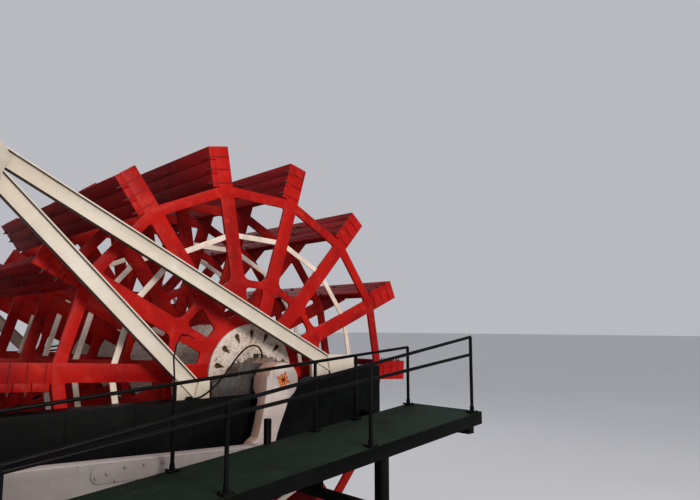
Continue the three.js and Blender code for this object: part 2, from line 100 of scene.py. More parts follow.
class Value:
    """A shader socket that takes part in sums written as Python expressions."""

    def __init__(self, net: "Net", socket: bpy.types.NodeSocket) -> None:
        """Keeps the socket and the net it belongs to."""
        self.net = net
        self.socket = socket

    def _sum(self, operation: str, first: Any, second: Any) -> "Value":
        """A Math node on two values."""
        return self.net.add("ShaderNodeMath", {"operation": operation}, {0: first, 1: second})

    def __add__(self, other: Any) -> "Value":
        """self + other."""
        return self._sum("ADD", self, other)

    def __radd__(self, other: Any) -> "Value":
        """other + self."""
        return self._sum("ADD", other, self)

    def __sub__(self, other: Any) -> "Value":
        """self - other."""
        return self._sum("SUBTRACT", self, other)

    def __rsub__(self, other: Any) -> "Value":
        """other - self."""
        return self._sum("SUBTRACT", other, self)

    def __mul__(self, other: Any) -> "Value":
        """self * other."""
        return self._sum("MULTIPLY", self, other)

    def __rmul__(self, other: Any) -> "Value":
        """other * self."""
        return self._sum("MULTIPLY", other, self)

    def __pow__(self, other: Any) -> "Value":
        """self ** other."""
        return self._sum("POWER", self, other)


class Net:
    """The node tree of one material, with the few patterns that the finishes share."""

    def __init__(self, name: str) -> None:
        """Starts an empty material.

        Args:
            name: Its name.
        """
        self.material = bpy.data.materials.new(name)
        self.material.use_nodes = True
        self.tree = self.material.node_tree
        self.tree.nodes.clear()
        self.coords = self.add("ShaderNodeTexCoord", {}, {}, "Object")

    def add(self, kind: str, settings: dict[str, Any], inputs: dict[Any, Any], output: Any = 0) -> Value:
        """Adds a node.

        Args:
            kind: The node's type.
            settings: Its properties, which are set first.
            inputs: Values or links of its sockets, by name or number.
            output: The socket to give back.

        Returns:
            That output as a Value.
        """
        node = self.tree.nodes.new(kind)
        for key, value in settings.items():
            setattr(node, key, value)
        for key, value in inputs.items():
            if isinstance(value, Value):
                self.tree.links.new(value.socket, node.inputs[key])
            else:
                node.inputs[key].default_value = value
        return Value(self, node.outputs[output])

    def stretched(self, scale: Point) -> Value:
        """Object coordinates scaled by axis."""
        return self.add("ShaderNodeMapping", {}, {"Vector": self.coords, "Scale": scale})

    def noise(self, scale: float, detail: float = 4.0, rough: float = 0.55, at: Value | None = None) -> Value:
        """Fractal noise from 0 to 1 around 0.5."""
        inputs = {"Vector": at or self.coords, "Scale": scale, "Detail": detail, "Roughness": rough}
        return self.add("ShaderNodeTexNoise", {}, inputs, "Fac")

    def cells(self, scale: float) -> Value:
        """Distance to the nearest of scattered points."""
        return self.add("ShaderNodeTexVoronoi", {}, {"Vector": self.coords, "Scale": scale}, "Distance")

    def step(self, value: Value, low: float, high: float) -> Value:
        """A smooth rise from 0 to 1 as value goes from low to high."""
        inputs = {"Value": value, "From Min": low, "From Max": high}
        return self.add("ShaderNodeMapRange", {"interpolation_type": "SMOOTHSTEP"}, inputs)

    def blend(self, share: Value, first: Value | Colour, second: Value | Colour) -> Value:
        """Mixes two colours.

        Args:
            share: How much of the second colour there is, from 0 to 1.
            first: The colour at 0.
            second: The colour at 1.

        Returns:
            The mixed colour.
        """
        inputs = {0: share}
        for socket, colour in ((6, first), (7, second)):
            inputs[socket] = colour if isinstance(colour, Value) else (*colour, 1.0)
        return self.add("ShaderNodeMix", {"data_type": "RGBA"}, inputs, 2)

    def axis(self, name: str) -> Value:
        """One component of the object's own coordinates."""
        return self.add("ShaderNodeSeparateXYZ", {}, {0: self.coords}, name)

    def bump(self, height: Value, distance: float) -> Value:
        """A normal that follows a height from 0 to 1, over a distance in metres."""
        return self.add("ShaderNodeBump", {}, {"Height": height, "Distance": distance, "Strength": 1.0})

    def surface(self, **sockets: Any) -> Material:
        """Ends the material with a Principled shader.

        Args:
            sockets: Values by socket name, with _ for a space.

        Returns:
            The material.
        """
        inputs = {key.replace("_", " "): value for key, value in sockets.items()}
        shader = self.add("ShaderNodeBsdfPrincipled", {}, inputs)
        end = self.tree.nodes.new("ShaderNodeOutputMaterial")
        self.tree.links.new(shader.socket, end.inputs["Surface"])
        return self.material


@dataclass(frozen=True)
class Paint:
    """Ship's paint: mottled by sun and wet, with grime, runs of rust and a brushed surface.

    Inside a radius about the axle it turns to a dark brown: painted shade that darkens the hub discs' slots.
    """

    name: str
    colour: Colour
    deep: Colour
    pale: Colour
    grime: Colour = (0.05, 0.035, 0.03)
    rust: Colour = (0.19, 0.065, 0.02)
    grime_share: float = 0.35
    rust_share: float = 0.12
    run_share: float = 0.2
    roughness: float = 0.45
    ripple: float = 0.002
    specular: float = 0.16
    well: float = 0.0
    well_colour: Colour = (0.07, 0.03, 0.014)
    well_fade: float = 0.02

    def build(self) -> Material:
        """Builds the finish.

        Returns:
            The material.
        """
        net = Net(self.name)
        broad = net.noise(0.9, 3.0)
        patches = net.noise(4.5, 5.0, 0.6)
        brushed = net.noise(26.0, 4.0, 0.6)
        runs = net.noise(1.0, 5.0, 0.6, net.stretched((16.0, 16.0, 1.3)))
        colour = net.blend(net.step(broad, 0.35, 0.65), self.colour, self.deep)
        colour = net.blend(net.step(patches, 0.5, 0.78) * 0.6, colour, self.pale)
        dirt = net.step(net.noise(2.2, 8.0, 0.68), 0.52, 0.74) * self.grime_share
        dirt = dirt + net.step(runs, 0.56, 0.8) * self.run_share
        colour = net.blend(dirt, colour, self.grime)
        spots = net.step(net.noise(11.0, 8.0, 0.72), 0.64, 0.7) * net.step(patches, 0.45, 0.6)
        rusty = spots * self.rust_share * 4.0
        colour = net.blend(rusty, colour, self.rust)
        # Painted shade: a dark brown disc about the axle, seen through the hub discs' slots.
        if self.well:
            away = ((net.axis("X") - AXLE.x) ** 2.0 + (net.axis("Z") - AXLE.z) ** 2.0) ** 0.5
            beyond = net.step(away, self.well, self.well + self.well_fade)
            colour = net.blend(beyond, self.well_colour, colour)
        gloss = self.roughness + brushed * 0.16 + dirt * 0.3 + rusty * 0.25 - 0.08
        normal = net.bump(brushed * 0.5 + patches * 0.3 - rusty * 0.4, self.ripple)
        return net.surface(
            Base_Color=colour, Roughness=gloss, Normal=normal, Specular_IOR_Level=self.specular
        )


@dataclass(frozen=True)
class BoardPaint:
    """Paint on sawn planks that run along Y: grain, wet edges and worn patches."""

    name: str
    colour: Colour
    deep: Colour
    worn: Colour
    grime: Colour

    def build(self) -> Material:
        """Builds the finish.

        Returns:
            The material.
        """
        net = Net(self.name)
        grain = net.noise(1.0, 7.0, 0.65, net.stretched((34.0, 1.6, 34.0)))
        boards = net.noise(1.0, 2.0, 0.5, net.stretched((4.0, 0.5, 4.0)))
        patches = net.noise(2.6, 7.0, 0.66)
        colour = net.blend(net.step(boards, 0.35, 0.65), self.colour, self.deep)
        colour = net.blend(net.step(grain, 0.5, 0.75) * 0.55, colour, self.deep)
        colour = net.blend(net.step(patches, 0.6, 0.72) * net.step(grain, 0.42, 0.6) * 0.7, colour, self.worn)
        colour = net.blend(net.step(net.noise(0.8, 6.0, 0.7), 0.48, 0.7) * 0.55, colour, self.grime)
        gloss = 0.5 + grain * 0.25
        normal = net.bump(grain + patches * 0.5, 0.004)
        return net.surface(Base_Color=colour, Roughness=gloss, Normal=normal, Specular_IOR_Level=0.08)


@dataclass(frozen=True)
class RustedCream:
    """Cream paint freckled with rust; the denser, the more of it the freckles cover."""

    name: str
    colour: Colour
    shade: Colour
    rust: Colour
    freckles: float
    dense: float = 0.0

    def build(self) -> Material:
        """Builds the finish.

        Returns:
            The material.
        """
        net = Net(self.name)
        broad = net.noise(1.6, 4.0)
        fine = net.noise(30.0, 5.0, 0.65)
        colour = net.blend(net.step(broad, 0.35, 0.68), self.colour, self.shade)
        stains = net.step(net.noise(6.0, 8.0, 0.7), 0.5, 0.74)
        low = 0.56 - self.dense
        near = 0.4 - 2.0 * self.dense
        clusters = net.step(net.noise(5.0, 4.0), near, near + 0.2)
        specks = net.step(net.noise(38.0, 6.0, 0.75), low, low + 0.12) * clusters
        colour = net.blend(stains * self.freckles * 0.6, colour, self.rust)
        colour = net.blend(specks * self.freckles, colour, self.rust)
        gloss = 0.42 + stains * 0.25 + specks * 0.2
        normal = net.bump(fine - specks * 0.6, 0.0015)
        return net.surface(Base_Color=colour, Roughness=gloss, Normal=normal, Specular_IOR_Level=0.2)


@dataclass(frozen=True)
class DeckPaint:
    """Matt non-slip deck paint, scuffed along the boat."""

    name: str
    colour: Colour
    scuffed: Colour
    grime: Colour

    def build(self) -> Material:
        """Builds the finish.

        Returns:
            The material.
        """
        net = Net(self.name)
        grit = net.cells(140.0)
        scuffs = net.noise(1.0, 6.0, 0.7, net.stretched((2.5, 9.0, 9.0)))
        stains = net.noise(1.4, 7.0, 0.68)
        colour = net.blend(net.step(scuffs, 0.5, 0.78) * 0.7, self.colour, self.scuffed)
        colour = net.blend(net.step(stains, 0.48, 0.7) * 0.75, colour, self.grime)
        gloss = 0.62 + stains * 0.2
        normal = net.bump(grit, 0.003)
        return net.surface(Base_Color=colour, Roughness=gloss, Normal=normal, Specular_IOR_Level=0.06)


@dataclass(frozen=True)
class BareMetal:
    """Cast or forged metal: mottled, oiled where it is bright, rusty where it is not."""

    name: str
    colour: Colour
    dull: Colour
    rust: Colour
    metallic: float
    rust_from: float
    roughness: float

    def build(self) -> Material:
        """Builds the finish.

        Returns:
            The material.
        """
        net = Net(self.name)
        broad = net.noise(5.0, 6.0, 0.65)
        fine = net.noise(48.0, 5.0, 0.7)
        streaks = net.noise(1.0, 6.0, 0.7, net.stretched((26.0, 26.0, 2.4)))
        rusty = net.step(broad * 0.7 + fine * 0.3, self.rust_from, self.rust_from + 0.12)
        colour = net.blend(net.step(fine * 0.45 + streaks * 0.55, 0.4, 0.6), self.colour, self.dull)
        colour = net.blend(rusty * 0.9, colour, self.rust)
        gloss = self.roughness + rusty * 0.35
        metallic = self.metallic * (1.0 - rusty)
        normal = net.bump(fine + rusty * 0.5, 0.002)
        return net.surface(Base_Color=colour, Roughness=gloss, Metallic=metallic, Normal=normal)


@dataclass(frozen=True)
class Rubber:
    """Matt black hose, dusty on top."""

    name: str
    colour: Colour = (0.004, 0.004, 0.004)
    dusty: Colour = (0.02, 0.019, 0.018)

    def build(self) -> Material:
        """Builds the finish.

        Returns:
            The material.
        """
        net = Net(self.name)
        dust = net.noise(22.0, 6.0, 0.7)
        colour = net.blend(net.step(dust, 0.5, 0.75) * 0.4, self.colour, self.dusty)
        gloss = 0.6 + dust * 0.25
        normal = net.bump(dust, 0.0008)
        return net.surface(Base_Color=colour, Roughness=gloss, Normal=normal, Specular_IOR_Level=0.1)


@dataclass(frozen=True)
class PaleFloor:
    """The studio's plain floor."""

    name: str
    colour: Colour = (0.62, 0.62, 0.64)
    pale: Colour = (0.68, 0.68, 0.69)

    def build(self) -> Material:
        """Builds the finish.

        Returns:
            The material.
        """
        net = Net(self.name)
        colour = net.blend(net.noise(0.15, 3.0), self.colour, self.pale)
        return net.surface(Base_Color=colour, Roughness=0.9)


class Palette:
    """Every finish of the unit, made once.

    A paint starts with four colours: its own, a deep one, a pale one and its grime.
    """

    def __init__(self) -> None:
        """Builds the materials."""
        self.wheel = Paint(
            "wheel_red", (0.37, 0.0062, 0.0036), (0.24, 0.0035, 0.003), (0.49, 0.034, 0.016),
            (0.09, 0.004, 0.004), grime_share=0.5, rust_share=0.1, run_share=0.4,
            specular=0.075, well=0.775,
        ).build()
        # Darker red for the inner frames: painted shade of the wheel's interior, partly real dirt.
        self.inner_wheel = Paint(
            "wheel_red_inner", (0.27, 0.0045, 0.0028), (0.15, 0.0025, 0.0022), (0.34, 0.014, 0.008),
            (0.04, 0.003, 0.003), grime_share=0.5, run_share=0.35, specular=0.05, well=0.775,
        ).build()
        self.boards = BoardPaint(
            "board_red", (0.25, 0.0055, 0.0065), (0.13, 0.003, 0.0045), (0.34, 0.017, 0.012),
            (0.03, 0.004, 0.005),
        ).build()
        self.ring = RustedCream(
            "ring_cream", (0.66, 0.56, 0.48), (0.52, 0.43, 0.36), (0.2, 0.08, 0.035), freckles=0.55,
        ).build()
        self.hub = RustedCream(
            "hub_cream", (0.6, 0.52, 0.46), (0.46, 0.38, 0.32), (0.13, 0.055, 0.03), freckles=1.0, dense=0.05,
        ).build()
        self.brace = Paint(
            "brace_cream", (0.54, 0.49, 0.42), (0.48, 0.42, 0.34), (0.6, 0.56, 0.5), (0.28, 0.21, 0.15),
            grime_share=0.16, rust_share=0.05, run_share=0.12, roughness=0.4, ripple=0.0012,
        ).build()
        # Darker cream for the posts: painted shadow of the upper deck, which is not built.
        self.post = Paint(
            "post_cream", (0.42, 0.385, 0.33), (0.36, 0.32, 0.26), (0.49, 0.46, 0.4), (0.22, 0.17, 0.12),
            grime_share=0.2, rust_share=0.05, run_share=0.15, roughness=0.4, ripple=0.0012,
        ).build()
        # Dark brown for the braces' downward faces: painted shade under the flanges.
        self.under = Paint(
            "brace_underside", (0.1, 0.07, 0.055), (0.06, 0.04, 0.032), (0.17, 0.13, 0.1),
            (0.03, 0.02, 0.016), grime_share=0.3, specular=0.08,
        ).build()
        self.engine = Paint(
            "engine_white", (0.5, 0.44, 0.42), (0.4, 0.33, 0.31), (0.6, 0.56, 0.54), (0.2, 0.15, 0.13),
            grime_share=0.35, rust_share=0.1, run_share=0.45, roughness=0.4, ripple=0.0012,
        ).build()
        # Greyed white for the pitman's sides, strap and strap bolts: a painted shade of the engine white,
        # which its top and bottom keep.
        self.rod = Paint(
            "rod_grey", (0.25, 0.225, 0.215), (0.2, 0.175, 0.17), (0.31, 0.29, 0.28), (0.11, 0.085, 0.075),
            grime_share=0.35, rust_share=0.08, run_share=0.4, roughness=0.42, ripple=0.0012,
        ).build()
        # Pinkish brown for the crank's narrow sides: painted shade with a painted reflection of the red
        # wheel, over real rust stains.
        self.engine_side = Paint(
            "engine_side_stained", (0.5, 0.34, 0.29), (0.4, 0.25, 0.19), (0.58, 0.44, 0.39),
            (0.27, 0.125, 0.06), rust=(0.42, 0.14, 0.045), grime_share=0.7, rust_share=0.25,
            run_share=0.5, roughness=0.5,
        ).build()
        self.star = Paint(
            "star_orange", (0.8, 0.22, 0.045), (0.68, 0.14, 0.03), (0.86, 0.36, 0.11), grime_share=0.2,
        ).build()
        self.star_edge = Paint(
            "star_edge", (0.06, 0.012, 0.006), (0.035, 0.008, 0.005), (0.1, 0.022, 0.01), grime_share=0.2,
        ).build()
        self.hull = Paint(
            "hull_black", (0.0022, 0.0025, 0.0026), (0.0014, 0.0017, 0.0017), (0.0055, 0.006, 0.006),
            (0.011, 0.0085, 0.007), rust=(0.05, 0.02, 0.01), grime_share=0.22, rust_share=0.05,
            specular=0.035,
        ).build()
        self.deck = DeckPaint(
            "deck_green", (0.0085, 0.019, 0.0115), (0.026, 0.04, 0.027), (0.006, 0.0065, 0.005),
        ).build()
        self.rail = Paint(
            "rail_black", (0.002, 0.0022, 0.0025), (0.0014, 0.0016, 0.0017), (0.005, 0.0053, 0.0056),
            (0.014, 0.009, 0.006), rust=(0.06, 0.022, 0.01), grime_share=0.15, roughness=0.4, ripple=0.0006,
            specular=0.06,
        ).build()
        self.iron = BareMetal(
            "bearing_iron", (0.045, 0.037, 0.034), (0.007, 0.0055, 0.005), (0.05, 0.02, 0.012),
            metallic=0.1, rust_from=0.5, roughness=0.6,
        ).build()
        self.cap = BareMetal(
            "bearing_cap_iron", (0.2, 0.155, 0.125), (0.035, 0.026, 0.02), (0.13, 0.055, 0.028),
            metallic=0.1, rust_from=0.5, roughness=0.6,
        ).build()
        self.fitting = BareMetal(
            "fitting_green", (0.02, 0.026, 0.017), (0.009, 0.011, 0.008), (0.05, 0.025, 0.014),
            metallic=0.2, rust_from=0.55, roughness=0.5,
        ).build()
        self.steel = BareMetal(
            "shaft_steel", (0.3, 0.275, 0.25), (0.2, 0.18, 0.165), (0.14, 0.065, 0.037),
            metallic=0.7, rust_from=0.52, roughness=0.4,
        ).build()
        self.bolt = BareMetal(
            "bolt_dark", (0.05, 0.024, 0.02), (0.025, 0.014, 0.012), (0.1, 0.03, 0.02),
            metallic=0.2, rust_from=0.48, roughness=0.55,
        ).build()
        self.bolt_red = Paint(
            "bolt_red", (0.26, 0.008, 0.006), (0.18, 0.005, 0.004), (0.32, 0.016, 0.01), specular=0.15,
        ).build()
        self.hose = Rubber("hose_rubber").build()
        self.floor = PaleFloor("studio_floor").build()


class Element(Enum):
    """What can be selected on a mesh, by its select mode, with the mesh's list of them."""

    FACE = "polygons"
    EDGE = "edges"
    VERT = "vertices"


@dataclass(frozen=True)
class Edge:
    """How a piece's edges are rounded: the bevel's width and segments, and its least angle in degrees."""

    width: float
    segments: int = 2
    angle: float = 25.0


@dataclass(frozen=True)
class Head:
    """A bolt head, nut or washer: its corner radius and how far its top stands proud."""

    radius: float
    proud: float


class Bench:
    """The modelling steps that the pieces are made with, one piece at a time.

    Corners within MERGED become one, and so do faces whose angle is under FLAT. Faces that meet at less
    than SMOOTH are shaded as one surface. A face looks a given way from a FACING share of its normal.
    """

    MERGED = 0.0001
    FLAT = math.radians(0.5)
    SMOOTH = math.radians(35.0)
    FACING = 0.9
    ARC_STEPS = 3
    HEAD_INSET = 0.22
    HEAD_CROWN = 0.2

    @staticmethod
    def clear() -> None:
        """Leaves edit mode and deselects everything, so that an operator acts on nothing old."""
        if bpy.context.mode != "OBJECT":
            bpy.ops.object.mode_set(mode="OBJECT")
        bpy.ops.object.select_all(action="DESELECT")

    @staticmethod
    def only(piece: Piece) -> None:
        """Leaves edit mode with one piece selected and active.

        Args:
            piece: That piece.
        """
        Bench.clear()
        piece.select_set(True)
        bpy.context.view_layer.objects.active = piece

    @staticmethod
    def edit() -> None:
        """Starts edit mode on the active piece with all of its mesh selected."""
        bpy.ops.object.mode_set(mode="EDIT")
        bpy.ops.mesh.select_all(action="SELECT")

    @staticmethod
    def linked(name: str, data: bpy.types.ID) -> Piece:
        """Makes a new object and links it into the scene.

        Args:
            name: Its name.
            data: The mesh, curve, camera or light that it holds.

        Returns:
            The object.
        """
        piece = bpy.data.objects.new(name, data)
        bpy.context.scene.collection.objects.link(piece)
        return piece

    @staticmethod
    def settled(name: str) -> Piece:
        """Names the new primitive and moves its place into its mesh.

        Args:
            name: The piece's name.

        Returns:
            The piece.
        """
        piece = bpy.context.active_object
        piece.name = name
        Bench.only(piece)
        bpy.ops.object.transform_apply(location=True, rotation=True, scale=True)
        return piece

    @staticmethod
    def block(name: str, low: Sequence[float], high: Sequence[float]) -> Piece:
        """Makes a box between two corners.

        Args:
            name: The piece's name.
            low: Its lowest corner.
            high: Its highest corner.

        Returns:
            The box.
        """
        low, high = Vector(low), Vector(high)
        Bench.clear()
        bpy.ops.mesh.primitive_cube_add(size=1.0, location=(low + high) / 2, scale=high - low)
        return Bench.settled(name)

    @staticmethod
    def bar(name: str, start: Sequence[float], end: Sequence[float], radius: float, sides: int) -> Piece:
        """Makes a round or many-sided bar between two points.

        Args:
            name: The piece's name.
            start: The middle of one end.
            end: The middle of the other.
            radius: Its corner radius.
            sides: How many sides it has.

        Returns:
            The bar.
        """
        start, end = Vector(start), Vector(end)
        turn = (end - start).to_track_quat("Z", "Y").to_euler()
        length = (end - start).length
        Bench.clear()
        bpy.ops.mesh.primitive_cylinder_add(
            vertices=sides, radius=radius, depth=length, location=(start + end) / 2, rotation=turn
        )
        return Bench.settled(name)

    @staticmethod
    def extrude(move: Sequence[float]) -> None:
        """Extrudes the selected faces by a move."""
        bpy.ops.mesh.extrude_region_move(TRANSFORM_OT_translate={"value": move})

    @staticmethod
    def bent_rod(name: str, corners: Sequence[Vector], radius: float, bend: float, sides: int) -> Piece:
        """Makes a round rod through corners, with an arc at each inner one.

        Args:
            name: The piece's name.
            corners: The rod's ends and the corners between them, all in one plane.
            radius: The rod's radius.
            bend: Radius of the arcs.
            sides: How many sides the rod has.

        Returns:
            The rod.
        """
        at = corners[0]
        way = (corners[1] - at).normalized()
        turn = way.to_track_quat("Z", "Y").to_euler()
        Bench.clear()
        bpy.ops.mesh.primitive_circle_add(
            vertices=sides, radius=radius, fill_type="NGON", location=at, rotation=turn
        )
        rod = Bench.settled(name)
        Bench.edit()
        for corner, after in zip(corners[1:-1], corners[2:]):
            ahead = (after - corner).normalized()
            angle = way.angle(ahead)
            axis = way.cross(ahead).normalized()
            setback = bend * math.tan(angle / 2)
            start = corner - way * setback
            Bench.extrude(start - at)
            centre = start + axis.cross(way) * bend
            bpy.ops.mesh.spin(steps=Bench.ARC_STEPS, angle=angle, center=centre, axis=axis)
            at = corner + ahead * setback
            way = ahead
        Bench.extrude(corners[-1] - at)
        bpy.ops.mesh.select_all(action="SELECT")
        bpy.ops.mesh.remove_doubles(threshold=2 * Bench.MERGED)
        Bench.face_outward(rod)
        return rod

    @staticmethod
    def face_outward(piece: Piece) -> None:
        """Turns all faces of a closed piece outward.

        Args:
            piece: The piece.
        """
        Bench.only(piece)
        Bench.edit()
        bpy.ops.mesh.normals_make_consistent(inside=False)
        bpy.ops.object.mode_set(mode="OBJECT")

    @staticmethod
    def pick(piece: Piece, element: Element, test: Callable[[Any], bool]) -> None:
        """Selects the faces, edges or vertices that pass a test, and stays in edit mode.

        Args:
            piece: The piece to select on.
            element: Which of them the test is for.
            test: Takes one of them.
        """
        Bench.only(piece)
        bpy.ops.object.mode_set(mode="EDIT")
        bpy.ops.mesh.select_mode(type=element.name)
        bpy.ops.mesh.select_all(action="DESELECT")
        bpy.ops.object.mode_set(mode="OBJECT")
        for item in getattr(piece.data, element.value):
            item.select = test(item)
        bpy.ops.object.mode_set(mode="EDIT")

    @staticmethod
    def from_cad(name: str, node: str) -> Piece:
        """Copies a CAD node's mesh, merges it and makes its flat faces whole again.

        Args:
            name: The piece's name.
            node: The node's name.

        Returns:
            The copy.
        """
        piece = Bench.linked(name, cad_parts[node].data.copy())
        piece.data.materials.clear()
        Bench.only(piece)
        Bench.edit()
        bpy.ops.mesh.remove_doubles(threshold=Bench.MERGED)
        bpy.ops.mesh.dissolve_limited(angle_limit=Bench.FLAT)
        bpy.ops.object.mode_set(mode="OBJECT")
        return piece

    @staticmethod
    def soften(piece: Piece, edge: Edge) -> Piece:
        """Rounds a piece's edges with a bevel, and shades it smooth between them.

        Args:
            piece: The piece.
            edge: How its edges are rounded.

        Returns:
            The same piece.
        """
        Bench.only(piece)
        bevel = piece.modifiers.new("edges", "BEVEL")
        bevel.width = edge.width
        bevel.segments = edge.segments
        bevel.limit_method = "ANGLE"
        bevel.angle_limit = math.radians(edge.angle)
        bevel.harden_normals = False
        bpy.ops.object.modifier_apply(modifier=bevel.name)
        bpy.ops.object.shade_smooth_by_angle(angle=Bench.SMOOTH)
        return piece

    @staticmethod
    def coat(piece: Piece, finishes: Sequence[Material], choice: Choice | None) -> None:
        """Gives a piece its finishes, and each of its faces one of them.

        Args:
            piece: The piece, which has no finish yet.
            finishes: Its finishes.
            choice: Takes a face, and gives the place of its finish among them; None where there is one.
        """
        for finish in finishes:
            piece.data.materials.append(finish)
        if choice:
            for face in piece.data.polygons:
                face.material_index = choice(face)

    @staticmethod
    def copies(model: Piece, places: Iterable[Matrix]) -> list[Piece]:
        """Makes copies of a model, each with its own mesh, and removes the model.

        Args:
            model: The model.
            places: Where the copies go.

        Returns:
            The copies.
        """
        made = []
        for place in places:
            piece = Bench.linked(model.name, model.data.copy())
            piece.data.transform(place)
            made.append(piece)
        bpy.data.objects.remove(model)
        return made

    @staticmethod
    def joined(name: str, parts: Sequence[Piece]) -> Piece:
        """Joins several parts.

        Args:
            name: The piece's name.
            parts: Its parts.

        Returns:
            The piece.
        """
        Bench.clear()
        for part in parts:
            part.select_set(True)
        bpy.context.view_layer.objects.active = parts[0]
        if len(parts) > 1:
            bpy.ops.object.join()
        parts[0].name = name
        return parts[0]

    @staticmethod
    def bolts(name: str, points: Iterable[Vector], outward: Sequence[float], head: Head) -> Piece:
        """Makes hexagon bolt heads with a raised crown, each standing on a point of a flat face.

        Args:
            name: The piece's name.
            points: Where the heads stand.
            outward: The face's normal.
            head: Their size.

        Returns:
            All the heads as one piece.
        """
        way = Vector(outward).normalized()
        model = Bench.bar("bolt", (0, 0, 0), way * head.proud, head.radius, HEXAGON)
        Bench.pick(model, Element.FACE, lambda face: face.normal.dot(way) > Bench.FACING)
        bpy.ops.mesh.inset(thickness=head.radius * Bench.HEAD_INSET, depth=head.proud * Bench.HEAD_CROWN)
        bpy.ops.object.mode_set(mode="OBJECT")
        return Bench.joined(name, Bench.copies(model, [Matrix.Translation(point) for point in points]))


@dataclass
class Dresser:
    """Gives a finished piece its body and finish, hides the CAD nodes it stands for and logs its slot."""

    palette: Palette

    def dress(
        self, piece: Piece, finish: Material, slot: str, body: str, replaces: Sequence[str] = ()
    ) -> None:
        """Dresses one piece.

        Args:
            piece: The finished mesh or curve.
            finish: Its finish, unless the piece has one already.
            slot: The material slot, which is only logged.
            body: The CAD body it rides on.
            replaces: CAD nodes that it stands for.
        """
        if not piece.data.materials:
            piece.data.materials.append(finish)
        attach(piece, body)
        if replaces:
            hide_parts(*replaces)
        log.info("%s rides on %s as %s", piece.name, body, slot)

    def cad_piece(
        self,
        name: str,
        node: str,
        body: str,
        slot: str,
        finishes: Sequence[Material],
        edge: Edge,
        choice: Choice | None = None,
    ) -> None:
        """Copies a CAD node, rounds its edges, and dresses the copy to stand for it.

        Args:
            name: The piece's name.
            node: The node's name.
            body: The CAD body it rides on.
            slot: The material slot, which is only logged.
            finishes: Its finishes.
            edge: How its edges are rounded.
            choice: Takes a face, and gives the place of its finish among them; None where there is one.
        """
        piece = Bench.soften(Bench.from_cad(name, node), edge)
        Bench.coat(piece, finishes, choice)
        self.dress(piece, finishes[0], slot, body, [node])


